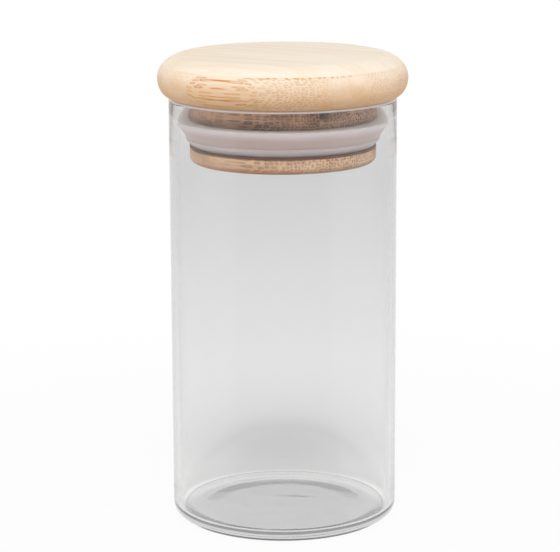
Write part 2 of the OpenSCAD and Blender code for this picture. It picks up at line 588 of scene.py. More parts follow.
@dataclass(frozen=True)
class BambooFinish:
    """One strip of bamboo, cut from the cane: a pale matrix crossed by bundles of fibres.

    Lengths and heights are in millimetres, and shares go from 0 to 1. The bundles run along
    the strip. A pair of numbers says where something starts and where it is full.

    Attributes:
        name: the material's name.
        pale: one tone of the matrix.
        shade: its other tone.
        bundle: the colour of the bundles.
        spacing: how far apart the bundles lie, across the fibres.
        squash: how far apart they lie up the strip, as a share of spacing.
        scatter: how unevenly they lie.
        size: half a bundle's width, as a share of spacing.
        heart: how pale a bundle's middle is.
        ring: how wide that middle is.
        even: how strong the weakest bundle is.
        ragged: how much of the bundles is torn out.
        depth: how strongly the bundles are coloured.
        fine: how strongly the single fibres between them are coloured.
        seed: a number for the strip, which gives it a pattern of its own.
        near: where the bundles come up, along the fibres.
        far: where they come up from the other end.
        faint: how strong they are outside near and far.
        painted_shade_heights: the heights between which pale turns to shade, painted shade low on
            the cap's rounding; both 0 for a patchy mix only.
        skin: how strong the darker zone low on the strip is: partly the cane's darker skin side,
            partly painted shade low on the piece, and in the cap's core painted shade only.
        rind_and_shade: its colour, or None for that of the bundles.
        dark: its heights.
        lip_shadow: how strong the dark line at the groove is, a painted shadow that the seal's lip
            casts on the foot.
        lip_shadow_at: its heights.
        grey_patch: the place of a dark grey patch, along the fibres and up; both 0 for none.
        dash: how strong the row of cut bundles at the facing ply is.
        dash_height: its height.
        gloss: the least roughness.
        refraction: the index of refraction.
    """

    name: str
    pale: Colour
    shade: Colour
    bundle: Colour
    spacing: float = 0.9
    squash: float = 1.0
    scatter: float = 0.6
    size: float = 0.34
    heart: float = 0.3
    ring: float = 0.0
    even: float = 0.4
    ragged: float = 0.0
    depth: float = 0.5
    fine: float = 0.12
    seed: float = 0.0
    near: Point = (-1000.0, -999.0)
    far: Point = (1000.0, 999.0)
    faint: float = 0.3
    painted_shade_heights: Point = (0.0, 0.0)
    skin: float = 0.0
    rind_and_shade: Colour | None = None
    dark: Point = (0.0, 1.0)
    lip_shadow: float = 0.0
    lip_shadow_at: Point = (108.4, 108.85)
    grey_patch: Point = (0.0, 0.0)
    dash: float = 0.0
    dash_height: float = 0.0
    gloss: float = 0.5
    refraction: float = 1.45

    def wander(self, r: Recipe, along: Wire) -> tuple[Wire, Wire]:
        """Lets the bundles wander a little as they run, in each strip in its own way.

        Args:
            r: the recipe that the nodes go into.
            along: the place along the fibres; its siblings are the other two.

        Returns:
            The place across the fibres and the height, as the wandering bundles have them.
        """
        across, up = along.sibling("Y"), along.sibling("Z")
        slow, quick = 0.035, 0.15
        drift = r.noise(r.vector(along * slow, across * quick + self.seed, up * quick),
                        detail=1.0, out="Color")
        aside = r.axis(drift, "X")
        far_aside, far_up = 1.1, 0.9
        side = across + (aside - 0.5) * far_aside + self.seed * SEED_SIDE
        rise = up + (aside.sibling("Y") - 0.5) * far_up + self.seed * SEED_RISE
        return side, rise

    def edge(self, ends: Sequence[Point]) -> list[float]:
        """Where an edge of a bundle starts and where it is full, for a ring of this width."""
        return [place + shift * self.ring for place, shift in ends]

    def bundles(self, r: Recipe, along: Wire, side: Wire, rise: Wire) -> tuple[Wire, Wire]:
        """Lays out the bundles.

        Args:
            r: the recipe that the nodes go into.
            along: the place along the fibres.
            side: the place across them.
            rise: the height.

        Returns:
            How strong the bundles are at a place, and a chance number of each bundle.
        """
        cells = r.node("ShaderNodeTexVoronoi", {"voronoi_dimensions": "2D"},
                       {"Vector": r.vector(side / self.spacing,
                                           rise / (self.spacing * self.squash)),
                        "Scale": 1.0, "Randomness": self.scatter}, "Distance")
        chance = r.axis(cells.sibling("Color"), "X")
        least, more = 0.75, 0.5
        reach = cells / (chance * (more * self.size) + least * self.size)
        body = reach.step(*self.edge(BODY_EDGE))
        heart = reach.step(*self.edge(HEART_EDGE))
        strength = chance.sibling("Y") * (1 - self.even) + self.even
        axes = (along, side, rise)
        patch = r.waves(axes, PATCH_WAVES).step(*PATCH_EDGE, (PATCH_FAINT, 1.0))
        mark = (body - heart * self.heart) * strength * patch
        if self.ragged:
            mark = mark * r.waves(axes, TORN_WAVES).step(*TORN_EDGE, (1 - self.ragged, 1.0))
        run = along.step(*self.near, (self.faint, 1.0)) * along.step(*self.far, (self.faint, 1.0))
        return mark * run, chance

    def matrix(self, r: Recipe, up: Wire, broad: Wire) -> Wire:
        """The colour between the bundles, with painted shade lower down where its shade heights are
        set.

        Args:
            r: the recipe that the nodes go into.
            up: the height.
            broad: slow noise.

        Returns:
            The colour.
        """
        tone_and_shade = broad.step(*BROAD_EDGE)
        # painted shade: lower down, between its shade heights, pale turns to shade
        if self.painted_shade_heights[0]:
            patchy, full = 0.25, 0.75
            tone_and_shade = tone_and_shade * patchy + up.step(*self.painted_shade_heights, (0.0, full))
        return r.blend(self.pale, self.shade, tone_and_shade)

    def cut_row(self, r: Recipe, along: Wire, side: Wire, chance: Wire) -> Wire:
        """The row of small cut bundles just under the facing ply.

        Args:
            r: the recipe that the nodes go into.
            along: the place along the fibres; its siblings are the other two.
            side: the place across the wandering fibres.
            chance: a chance number of each bundle.

        Returns:
            How strong the row is at a place.
        """
        uneven, waver = 0.9, 0.2
        row = r.node("ShaderNodeTexVoronoi", {"voronoi_dimensions": "1D"},
                     {"W": side / DASH_SPACING, "Scale": 1.0, "Randomness": uneven}, "Distance")
        level = abs(along.sibling("Z") - self.dash_height + (chance - 0.5) * waver)
        cut = row.step(*DASH_WIDTH) * level.step(*DASH_RISE)
        return cut * along.step(*DASH_NEAR) * along.step(*DASH_FAR)

    def grey_patch_mask(self, r: Recipe, along: Wire, fibres: Wire) -> Wire:
        """The dark grey patch, which is longer along the fibres than it is high.

        Args:
            r: the recipe that the nodes go into.
            along: the place along the fibres; its siblings are the other two.
            fibres: the noise of the single fibres, which frays its edge.

        Returns:
            How strong the stain is at a place.
        """
        across, up = along.sibling("Y"), along.sibling("Z")
        stretch, fray = 0.42, 0.8
        spot = r.length(r.vector((along - self.grey_patch[0]) * stretch,
                                 up - self.grey_patch[1] + (fibres - 0.5) * fray))
        outer, full = 1.5, 0.6
        return spot.step(outer, full) * across.step(*GREY_PATCH_FADE, (GREY_PATCH_FAINT, 1.0))

    def make(self) -> bpy.types.Material:
        """Makes the material from the bundles' pattern.

        Returns:
            The strip's bamboo.
        """
        material, r = new_material(self.name)
        along = r.axis(r.place(-FIBRE_ANGLE), "X")
        up = along.sibling("Z")
        side, rise = self.wander(r, along)
        mark, chance = self.bundles(r, along, side, rise)
        fibres = r.waves((along, side, rise), FIBRE_WAVES, detail=3.0, roughness=0.6)
        broad = r.waves((along, side, rise), BROAD_WAVES)

        colour = self.matrix(r, up, broad)
        colour = r.blend(colour, self.bundle, fibres.step(*FIBRE_EDGE) * self.fine)
        colour = r.blend(colour, self.bundle, mark * self.depth)
        uneven_zone, uneven_line = 1.2, 0.3
        # the darker zone low on the strip: partly the cane's darker skin side, partly painted
        # shade; in the cap's core painted shade only
        if self.skin:
            edge = (up + (broad - 0.5) * uneven_zone).step(*self.dark)
            colour = r.blend(colour, self.rind_and_shade or self.bundle, edge * self.skin)
        # painted shadow: the dark line that the seal's lip casts on the top of the foot
        if self.lip_shadow:
            line = (up + (broad - 0.5) * uneven_line).step(*self.lip_shadow_at)
            colour = r.blend(colour, LIP_SHADOW_COLOUR, line * self.lip_shadow)
        # a dark grey patch on the neck
        if self.grey_patch[1]:
            colour = r.blend(colour, GREY_PATCH, self.grey_patch_mask(r, along, fibres) * GREY_PATCH_SHARE)
        if self.dash:
            colour = r.blend(colour, AMBER, self.cut_row(r, along, side, chance) * self.dash)

        raised, sunk, dull = 0.6, 0.5, 0.12
        relief = r.bump(fibres * raised - mark * sunk, strength=0.25, distance=0.05 * MM)
        r.finish(r.node("ShaderNodeBsdfPrincipled", None,
                        {"Base Color": colour, "Roughness": fibres * dull + self.gloss,
                         "Normal": relief, "IOR": self.refraction}))
        return material


# ---------------------------------------------------------------- hand tools


class Bench:
    """Modelling steps on a mesh, each one done with Blender's own operators."""

    @staticmethod
    def clear() -> None:
        """Leaves nothing selected."""
        bpy.ops.object.select_all(action="DESELECT")

    @staticmethod
    def arc(centre: Point, half: Point, start: float, stop: float, steps: int) -> list[Point]:
        """Points on an arc of a circle or an ellipse.

        Args:
            centre: its centre, as radius and height.
            half: its half-width and half-height.
            start: the first angle, in degrees.
            stop: the last angle, in degrees.
            steps: how many straight steps it has.

        Returns:
            The points, both ends among them.
        """
        angles = [math.radians(start + (stop - start) * i / steps) for i in range(steps + 1)]
        return [(centre[0] + half[0] * math.cos(a), centre[1] + half[1] * math.sin(a))
                for a in angles]

    @classmethod
    def turn(cls, name: str, profile: Sequence[Point], sharp: float,
             steps: int = TURN_STEPS) -> bpy.types.Object:
        """Turns a profile about the upright axis into a closed body.

        A point is drawn out along the profile, and the line is spun round.

        Args:
            name: the new piece's name.
            profile: radius and height of each point; both ends lie on the axis, or the last
                point is the first one again.
            sharp: the angle, in degrees, from which an edge stays sharp.
            steps: how many steps the full turn has.

        Returns:
            The new piece, with its place in its mesh.
        """
        cls.clear()
        points = [profile[0]]
        for point in profile[1:]:
            if math.dist(point, points[-1]) > 2 * WELD:
                points.append(point)
        bpy.ops.mesh.primitive_plane_add(size=MM, location=(points[0][0], 0.0, points[0][1]))
        piece = bpy.context.active_object
        piece.name = piece.data.name = name
        bpy.ops.object.transform_apply(location=True, rotation=True, scale=True)
        bpy.ops.object.mode_set(mode="EDIT")
        bpy.ops.mesh.select_mode(type="VERT")
        bpy.ops.mesh.select_all(action="SELECT")
        bpy.ops.mesh.merge(type="CENTER")
        for (r0, z0), (r1, z1) in zip(points, points[1:]):
            bpy.ops.mesh.extrude_region_move(
                TRANSFORM_OT_translate={"value": (r1 - r0, 0.0, z1 - z0)})
        bpy.ops.mesh.select_all(action="SELECT")
        bpy.ops.mesh.spin(steps=steps, angle=2 * math.pi, center=(0, 0, 0), axis=(0, 0, 1),
                          use_auto_merge=True)
        bpy.ops.mesh.select_all(action="SELECT")
        bpy.ops.mesh.remove_doubles(threshold=WELD)
        bpy.ops.mesh.normals_make_consistent(inside=False)
        bpy.ops.object.mode_set(mode="OBJECT")
        cls.smooth(piece, sharp)
        return piece

    @classmethod
    def smooth(cls, piece: bpy.types.Object, sharp: float) -> None:
        """Shades a piece smooth, apart from its sharp edges.

        Args:
            piece: the piece.
            sharp: the angle, in degrees, from which an edge stays sharp.
        """
        cls.clear()
        piece.select_set(True)
        bpy.context.view_layer.objects.active = piece
        bpy.ops.object.shade_smooth_by_angle(angle=math.radians(sharp))
        cls.clear()

    @classmethod
    def ripple(cls, piece: bpy.types.Object, shares: dict[int, float], size: float,
               height: float) -> None:
        """Lifts a part of a piece, evenly or in soft, uneven waves.

        Args:
            piece: the piece.
            shares: how far each vertex follows the lift, by the vertex's number.
            size: the length of a wave, or 0 for an even lift.
            height: the height of the highest wave.
        """
        cls.clear()
        piece.select_set(True)
        bpy.context.view_layer.objects.active = piece
        group = piece.vertex_groups.new(name="waves")
        for index, share in shares.items():
            group.add([index], share, "REPLACE")
        bpy.ops.object.modifier_add(type="DISPLACE")
        modifier = piece.modifiers[-1]
        waves = None
        if size:
            waves = bpy.data.textures.new("waves", "CLOUDS")
            waves.noise_scale = size
            waves.noise_depth = 1
            modifier.texture = waves
            modifier.texture_coords = "LOCAL"
        modifier.direction = "Z"
        modifier.mid_level = 0.0
        modifier.strength = height
        modifier.vertex_group = group.name
        bpy.ops.object.modifier_apply(modifier=modifier.name)
        piece.vertex_groups.clear()
        if waves:
            bpy.data.textures.remove(waves)
        cls.clear()

    @classmethod
    def copy(cls, piece: bpy.types.Object, name: str) -> bpy.types.Object:
        """Copies a piece.

        Args:
            piece: the piece.
            name: the copy's name.

        Returns:
            The copy, with a mesh of its own.
        """
        cls.clear()
        twin = piece.copy()
        twin.data = piece.data.copy()
        twin.name = twin.data.name = name
        bpy.context.scene.collection.objects.link(twin)
        return twin

    @classmethod
    def saw(cls, piece: bpy.types.Object, place: Vector, away: Vector) -> None:
        """Cuts off what lies on one side of a plane and closes the cut.

        Args:
            piece: the piece that is cut.
            place: a point on the plane.
            away: the plane's normal, towards what is taken off.
        """
        cls.clear()
        piece.select_set(True)
        bpy.context.view_layer.objects.active = piece
        bpy.ops.object.mode_set(mode="EDIT")
        bpy.ops.mesh.select_all(action="SELECT")
        bpy.ops.mesh.bisect(plane_co=place, plane_no=away, use_fill=True, clear_outer=True,
                            threshold=WELD)
        bpy.ops.object.mode_set(mode="OBJECT")
        cls.clear()


def dress(piece: bpy.types.Object, material: bpy.types.Material, slot: Slot, body: str,
          *nodes: str) -> None:
    """Gives a piece its finish, its body and the solids that it stands for.

    Args:
        piece: the finished mesh.
        material: its material.
        slot: the record's slot that the finish belongs to; not used.
        body: the body that it moves with.
        nodes: the solids that it replaces.
    """
    piece.data.materials.clear()
    piece.data.materials.append(material)
    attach(piece, body)
    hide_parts(*nodes)
    log.info("%s: %d faces, rides on %s", piece.name, len(piece.data.polygons), body)


# ------------------------------------------------------------------- the jar


@dataclass
class GlassJar:
    """The jar: a straight drawn wall on a thick floor, with a fire-polished rim.

    Attributes:
        wall: the thickness of the wall.
        floor: the thickness of the floor.
        corner_w: the width of the soft outer corner at the base.
        corner_h: its height.
        fillet: the radius of the inner corner.
        push_up: how far the middle of the base is pushed up.
        rise_in: the radius inside which it is fully pushed up.
        rise_out: the radius at which the base is down again.
        seam: the width of either side of the groove round the inner floor.
        seam_depth: its depth.
        ripple: the height of the soft waves under the base.
        ripple_size: their length.
        ripple_r: the radius at which they end.
        ripple_fade: the width over which they fade out.
        underside: what lies lower than this belongs to the underside.
        mark: the height of the tool's mark near the middle of the base.
        mark_place: its middle.
        mark_half: half its length and half its width.
        mark_turn: its angle.
        sharp: the angle, in degrees, from which an edge stays sharp.
        base_rings: how many rings each half of the base has, inside rise_in and beyond it.
        base_share: how far out the last of them lies, as a share of where the jar stands.
        rings: how many rings the wall and the inner floor have.
        corner_steps: how many steps the outer corner has.
        rim_steps: how many the rim has.
        fillet_steps: how many the inner corner has.
        finish: the glass.
    """

    wall: float = 2.0 * MM
    floor: float = 3.0 * MM
    corner_w: float = 4.4 * MM
    corner_h: float = 3.7 * MM
    fillet: float = 1.4 * MM
    push_up: float = 0.42 * MM
    rise_in: float = 17.0 * MM
    rise_out: float = 25.0 * MM
    seam: float = 0.15 * MM
    seam_depth: float = 0.1 * MM
    ripple: float = 0.14 * MM
    ripple_size: float = 12.0 * MM
    ripple_r: float = 27.0 * MM
    ripple_fade: float = 5.0 * MM
    underside: float = 0.6 * MM
    mark: float = 0.11 * MM
    mark_place: Point = (3.0 * MM, 4.5 * MM)
    mark_half: Point = (5.5 * MM, 1.3 * MM)
    mark_turn: float = math.radians(-8.0)
    sharp: float = 60.0
    base_rings: int = 22
    base_share: float = 0.98
    rings: int = 6
    corner_steps: int = 28
    rim_steps: int = 18
    fillet_steps: int = 16
    finish: GlassFinish = field(default_factory=GlassFinish)

    def __post_init__(self) -> None:
        """Takes the jar's outer size from its solid."""
        low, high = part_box("glass_jar")
        self.outer = (high.x - low.x) / 2
        self.height = high.z
        self.bore = self.outer - self.wall

    def underneath(self, stand: float) -> list[Point]:
        """The pushed-up underside, with rings enough to carry the waves.

        Args:
            stand: the radius on which the jar stands.

        Returns:
            Radius and height of each point, from the middle out.
        """
        rings = self.base_rings
        edge = stand * self.base_share
        radii = [self.rise_in * i / rings for i in range(rings)]
        radii += [self.rise_in + (edge - self.rise_in) * i / rings for i in range(rings + 1)]
        points = []
        for radius in radii:
            share = min(max((radius - self.rise_in) / (self.rise_out - self.rise_in), 0.0), 1.0)
            eased = share * share * (3 - 2 * share)
            points.append((radius, self.push_up * (1 - eased)))
        return points + [(stand, 0.0)]

    def profile(self) -> list[Point]:
        """The section of the glass, from the middle of the base round to the inner floor.

        Returns:
            Radius and height of each point.
        """
        rim = self.wall / 2
        stand = self.outer - self.corner_w
        rings = self.rings
        points = self.underneath(stand)
        points += Bench.arc((stand, self.corner_h), (self.corner_w, self.corner_h), -90, 0,
                            self.corner_steps)
        points += [(self.outer, self.height * k / rings) for k in range(1, rings)]
        points += Bench.arc((self.outer - rim, self.height - rim), (rim, rim), 0, 180,
                            self.rim_steps)
        points += [(self.bore, self.height * k / rings) for k in range(rings - 1, 0, -1)]
        points += Bench.arc((self.bore - self.fillet, self.floor + self.fillet),
                            (self.fillet, self.fillet), 0, -90, self.fillet_steps)
        inner = self.bore - self.fillet - self.seam
        points += [(inner, self.floor - self.seam_depth), (inner - self.seam, self.floor)]
        points += [(inner * (1 - k / rings), self.floor) for k in range(1, rings + 1)]
        return points

    def tool_mark(self, place: Vector) -> float:
        """How strongly the tool's mark lifts a point of the underside.

        Args:
            place: the point.

        Returns:
            A share from 0 to 1.
        """
        aside, ahead = place.x - self.mark_place[0], place.y - self.mark_place[1]
        cos, sin = math.cos(self.mark_turn), math.sin(self.mark_turn)
        along = (aside * cos + ahead * sin) / self.mark_half[0]
        across = (ahead * cos - aside * sin) / self.mark_half[1]
        return math.exp(-along * along - across * across)

    def build(self) -> bpy.types.Object:
        """Turns and dresses the jar.

        Returns:
            The glass piece.
        """
        piece = Bench.turn("jar_glass", self.profile(), self.sharp, JAR_STEPS)
        waves, mark = {}, {}
        for vertex in piece.data.vertices:
            radius = math.hypot(vertex.co.x, vertex.co.y)
            if vertex.co.z < self.underside and radius < self.ripple_r:
                waves[vertex.index] = min(1.0, (self.ripple_r - radius) / self.ripple_fade)
                mark[vertex.index] = self.tool_mark(vertex.co)
        Bench.ripple(piece, waves, self.ripple_size, self.ripple)
        Bench.ripple(piece, mark, 0.0, self.mark)
        dress(piece, self.finish.make(), Slot.GLASS, "jar", "glass_jar")
        return piece


# ------------------------------------------------------------------ the seal


@dataclass
class SiliconeSeal:
    """The seal: a ring in the plug's groove with a tall upper lip and a small lower one.

    Attributes:
        foot_r: the radius of the plug's foot.
        lower_lip_h: the height of the lower lip.
        lower_lip_reach: how far it stands out past the foot.
        lower_round: the half-width and the half-height of its rounded edge.
        lower_start: the angle, in degrees, at which that edge starts.
        lower_steps: how many steps it has.
        undercut: how far inside the foot its underside starts to rise.
        rise_steps: how many steps the flare of the upper lip has.
        land_h: the height of the upright edge of the upper lip.
        crease: the depth of the crease between the lips.
        crease_rise: its height.
        soft: the radius of the upper lip's top edge.
        soft_steps: how many steps that edge has.
        groove_r: the radius of the ring's back.
        sharp: the angle, in degrees, from which an edge stays sharp.
        finish: the silicone.
    """

    foot_r: float = 26.7 * MM
    lower_lip_h: float = 2.1 * MM
    lower_lip_reach: float = 1.2 * MM
    lower_round: Point = (0.5 * MM, 0.9 * MM)
    lower_start: float = -40.0
    lower_steps: int = 8
    undercut: float = 0.3 * MM
    rise_steps: int = 12
    land_h: float = 0.8 * MM
    crease: float = 0.2 * MM
    crease_rise: float = 0.2 * MM
    soft: float = 0.15 * MM
    soft_steps: int = 6
    groove_r: float = 24.6 * MM
    sharp: float = 50.0
    finish: SiliconeFinish = field(default_factory=SiliconeFinish)

    def __post_init__(self) -> None:
        """Takes the seal's outer size and heights from its solid."""
        low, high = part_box("silicone_seal")
        self.lip = (high.x - low.x) / 2
        self.bottom = low.z
        self.top = high.z

    def profile(self) -> list[Point]:
        """The section of the seal, closed.

        Returns:
            Radius and height of each point.
        """
        lower = self.foot_r + self.lower_lip_reach
        crease = lower - self.crease
        crease_z = self.bottom + self.lower_lip_h
        upper_z = crease_z + self.crease_rise
        land_z = self.top - self.land_h
        points = [(self.groove_r, self.bottom), (self.foot_r - self.undercut, self.bottom)]
        points += Bench.arc((lower - self.lower_round[0], crease_z), self.lower_round,
                            self.lower_start, 0, self.lower_steps)
        rise = self.rise_steps
        points += [(crease + (self.lip - crease) * k / rise,
                    upper_z + (land_z - upper_z) * k / rise) for k in range(rise + 1)]
        points += Bench.arc((self.lip - self.soft, self.top - self.soft),
                            (self.soft, self.soft), 0, 90, self.soft_steps)
        points += [(self.groove_r, self.top), (self.groove_r, self.bottom)]
        return points

    def build(self) -> bpy.types.Object:
        """Turns and dresses the seal.

        Returns:
            The silicone piece.
        """
        piece = Bench.turn("seal_silicone", self.profile(), self.sharp)
        dress(piece, self.finish.make(), Slot.SILICONE, "seal", "silicone_seal")
        return piece


# ------------------------------------------------------------------- the lid


@dataclass
class Ply:
    """One ply of the lid's block: a turned body, sawn into strips along the fibres.

    Attributes:
        label: the first word of its strips' names.
        slot: the record's slot of its bamboo.
        finishes: the finish of each strip, from the front.
        sharp: the angle, in degrees, from which its edges stay sharp.
        arc_steps: how many steps its large roundings have.
        ease_steps: how many its small ones have.
    """

    label: str
    slot: Slot
    finishes: list[BambooFinish]
    sharp: float = 40.0
    arc_steps: int = 40
    ease_steps: int = 6

    def section(self) -> list[Point]:
        """The ply's section, from the axis out and back to the axis, which each ply defines."""
        raise NotImplementedError

    def node(self, number: int) -> str:
        """The solid that one strip stands for."""
        return f"{self.label}_strip_{number}"

    def reach(self, number: int) -> Point:
        """How far one strip's solid reaches across the fibres.

        Args:
            number: the strip's number, counted from the front.

        Returns:
            Its lowest and its highest distance from the axis, across the fibres.
        """
        across = self.across()
        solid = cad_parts[self.node(number)]
        spans = [vertex.co.dot(across) for vertex in solid.data.vertices]
        return min(spans), max(spans)

    @staticmethod
    def across() -> Vector:
        """The direction across the fibres, towards the back."""
        return Vector((-math.sin(FIBRE_ANGLE), math.cos(FIBRE_ANGLE), 0.0))

    def build(self) -> None:
        """Turns the ply, saws it into its strips and dresses them."""
        body = Bench.turn(f"{self.label}_ply", self.section(), self.sharp)
        across = self.across()
        count = len(self.finishes)
        joints = [self.reach(n)[1] for n in range(1, count)]
        for number, finish in enumerate(self.finishes, 1):
            strip = Bench.copy(body, f"bamboo_{self.label}_{number}")
            if number > 1:
                Bench.saw(strip, across * joints[number - 2], -across)
            if number < count:
                Bench.saw(strip, across * joints[number - 1], across)
            Bench.smooth(strip, self.sharp)
            dress(strip, finish.make(), self.slot, "lid", self.node(number))
        bpy.data.objects.remove(body)


@dataclass
class FacePly(Ply):
    """The thin ply that faces the top of the cap.

    Attributes:
        round_w: the width of the rounding above the cap's widest line.
        belly: the height of that line.
        flat_rings: how many rings the flat top has.
    """

    round_w: float = 8.2 * MM
    belly: float = 128.4 * MM
    flat_rings: int = 8

    def section(self) -> list[Point]:
        """The flat top and the upper part of the rounding.

        Returns:
            Radius and height of each point.
        """
        low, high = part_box(self.node(1))
        outer = CAD_BOX[1].x
        half = (self.round_w, high.z - self.belly)
        centre = (outer - self.round_w, self.belly)
        start = math.degrees(math.asin((low.z - self.belly) / half[1]))
        points = [(0.0, low.z)]
        points += Bench.arc(centre, half, start, 90, self.arc_steps)
        points += [(centre[0] * k / self.flat_rings, high.z)
                   for k in range(self.flat_rings - 1, -1, -1)]
        return points


@dataclass
class CapPly(Ply):
    """The thick ply of the cap, with its flat seat and its rounded edge.

    Attributes:
        round_w: the width of the rounding above the cap's widest line.
        seat_r: the radius of the flat seat on the rim.
        belly: the height of the widest line.
        upper_steps: how many steps the rounding above that line has.
    """

    round_w: float = 8.2 * MM
    seat_r: float = 31.8 * MM
    belly: float = 128.4 * MM
    upper_steps: int = 24

    def section(self) -> list[Point]:
        """The flat seat and the rounding up to the facing ply.

        Returns:
            Radius and height of each point.
        """
        low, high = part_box(self.node(2))
        outer = CAD_BOX[1].x
        top_h = CAD_BOX[1].z - self.belly
        stop = math.degrees(math.asin((high.z - self.belly) / top_h))
        points = [(0.0, low.z)]
        points += Bench.arc((self.seat_r, self.belly), (outer - self.seat_r, self.belly - low.z),
                            -90, 0, self.arc_steps)
        points += Bench.arc((outer - self.round_w, self.belly), (self.round_w, top_h), 0, stop,
                            self.upper_steps)
        points += [(0.0, high.z)]
        return points


@dataclass
class NeckPly(Ply):
    """The upper ply of the plug: the neck and the upper part of the groove.

    Attributes:
        neck_r: the radius of the neck.
        groove_r: the radius of the groove's back.
        groove_top: the height of the groove's upper side.
        ease: the radius of the neck's lower edge.
    """

    neck_r: float = 27.1 * MM
    groove_r: float = 24.5 * MM
    groove_top: float = 116.9 * MM
    ease: float = 0.2 * MM

    def section(self) -> list[Point]:
        """The neck over the groove's back.

        Returns:
            Radius and height of each point.
        """
        low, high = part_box(self.node(2))
        points = [(0.0, low.z), (self.groove_r, low.z), (self.groove_r, self.groove_top)]
        points += Bench.arc((self.neck_r - self.ease, self.groove_top + self.ease),
                            (self.ease, self.ease), -90, 0, self.ease_steps)
        points += [(self.neck_r, high.z), (0.0, high.z)]
        return points


@dataclass
class FootPly(Ply):
    """The lower ply of the plug: the lower part of the groove and the foot.

    Attributes:
        foot_r: the radius of the foot.
        groove_r: the radius of the groove's back.
        groove_bottom: the height of the groove's lower side.
        round_r: the radius of the foot's lower edge.
        round_steps: how many steps that edge has.
        ease: the radius of its upper edge.
    """

    foot_r: float = 26.7 * MM
    groove_r: float = 24.5 * MM
    groove_bottom: float = 109.4 * MM
    round_r: float = 1.9 * MM
    round_steps: int = 24
    ease: float = 0.25 * MM

    def section(self) -> list[Point]:
        """The foot with its rounded lower edge, under the groove's back.

        Returns:
            Radius and height of each point.
        """
        low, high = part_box(self.node(2))
        points = [(0.0, low.z)]
        points += Bench.arc((self.foot_r - self.round_r, low.z + self.round_r),
                            (self.round_r, self.round_r), -90, 0, self.round_steps)
        points += Bench.arc((self.foot_r - self.ease, self.groove_bottom - self.ease),
                            (self.ease, self.ease), 0, 90, self.ease_steps)
        points += [(self.groove_r, self.groove_bottom), (self.groove_r, high.z), (0.0, high.z)]
        return points


def bamboo_plies() -> list[Ply]:
    """Lists the four plies of the lid with the finish of each strip.

    Returns:
        The plies, from the top down.
    """
    face = dict(pale=tone("fbeedc"), shade=tone("f7e5ce"), bundle=tone("dcb98a"), spacing=0.8,
                depth=0.12, fine=0.16, heart=0.0)
    # the core is painted darker lower down, by its shade heights and its darker zone: painted shade
    # on the cap's lower rounding
    core = dict(pale=tone("f9e6cf"), shade=tone("e3ba8c"), bundle=tone("b27338"), spacing=0.66,
                depth=0.46, fine=0.14, heart=0.1, even=0.6, painted_shade_heights=(132.4, 125.5), skin=0.3,
                rind_and_shade=tone("b07c48"), dark=(127.2, 124.2))
    # the neck's strips are darker than the foot's: partly the bamboo's own tone, partly painted
    # shade under the cap's overhang
    neck = dict(pale=tone("c99e7c"), shade=tone("a87f61"), bundle=tone("321c10"), spacing=0.9,
                depth=1.0, size=0.3, heart=0.0, even=0.85, scatter=0.65, skin=0.45,
                dark=(119.0, 116.9))
    # the foot carries the painted shadow that the seal's lip casts on its top
    foot = dict(pale=tone("ebc49e"), shade=tone("d2a47c"), bundle=tone("54300f"), spacing=0.78,
                depth=0.85, size=0.3, heart=0.45, ring=0.35, even=0.85, scatter=0.5, skin=0.45,
                dark=(106.5, 104.8), lip_shadow=0.95)
    sliver = {**core, "spacing": 1.0, "size": 0.3, "depth": 1.0, "heart": 0.6, "ring": 0.5,
              "ragged": 0.3, "bundle": tone("cf7f26")}
    cap_quiet = {**core, "depth": 0.35, "faint": 0.4}
    cap_back = {**core, "pale": tone("f3e4d2"), "shade": tone("dcc0a0"), "faint": 0.4}
    # full bundles and a darker shade towards the front middle: partly the strip's own pattern,
    # partly painted shade under the cap
    neck_front = {**neck, "spacing": 0.62, "squash": 1.2, "size": 0.36, "heart": 0.4,
                  "ring": 0.3, "depth": 0.95, "scatter": 0.5, "faint": 0.3,
                  "pale": tone("d0a27c"), "shade": tone("9e7050"), "near": (-14.0, 8.0)}
    neck_back = {**neck, "pale": tone("cba688"), "shade": tone("b48d70")}
    foot_front = {**foot, "spacing": 0.66, "squash": 1.4, "size": 0.33, "heart": 0.5,
                  "ring": 0.2, "depth": 0.7, "bundle": tone("6e3d12"), "fine": 0.3,
                  "faint": 0.3, "skin": 0.7, "rind_and_shade": tone("a9602a"), "near": (-6.0, 8.0)}
    return [
        FacePly("face", Slot.FACE, [
            BambooFinish("bamboo_face_1", seed=1.0, **face),
            BambooFinish("bamboo_face_2", seed=2.0, **face),
            BambooFinish("bamboo_face_3", seed=3.0, **face)]),
        CapPly("cap", Slot.CORE, [
            BambooFinish("bamboo_cap_1", seed=4.0, **sliver),
            BambooFinish("bamboo_cap_2", seed=5.0, dash=0.85, dash_height=132.15,
                         near=(-14.0, 8.0), far=(34.0, 17.0), **core),
            BambooFinish("bamboo_cap_3", seed=6.0, **cap_quiet),
            BambooFinish("bamboo_cap_4", seed=7.0, **cap_back)]),
        NeckPly("neck", Slot.CORE, [
            BambooFinish("bamboo_neck_1", seed=8.0, **neck_front),
            BambooFinish("bamboo_neck_2", seed=9.0, grey_patch=(22.3, 120.6), **neck),
            BambooFinish("bamboo_neck_3", seed=10.0, **neck_back)]),
        FootPly("foot", Slot.CORE, [
            BambooFinish("bamboo_foot_1", seed=11.0, **foot_front),
            BambooFinish("bamboo_foot_2", seed=12.0, **foot),
            BambooFinish("bamboo_foot_3", seed=13.0, **foot)]),
    ]


# ---------------------------------------------------------------- the studio


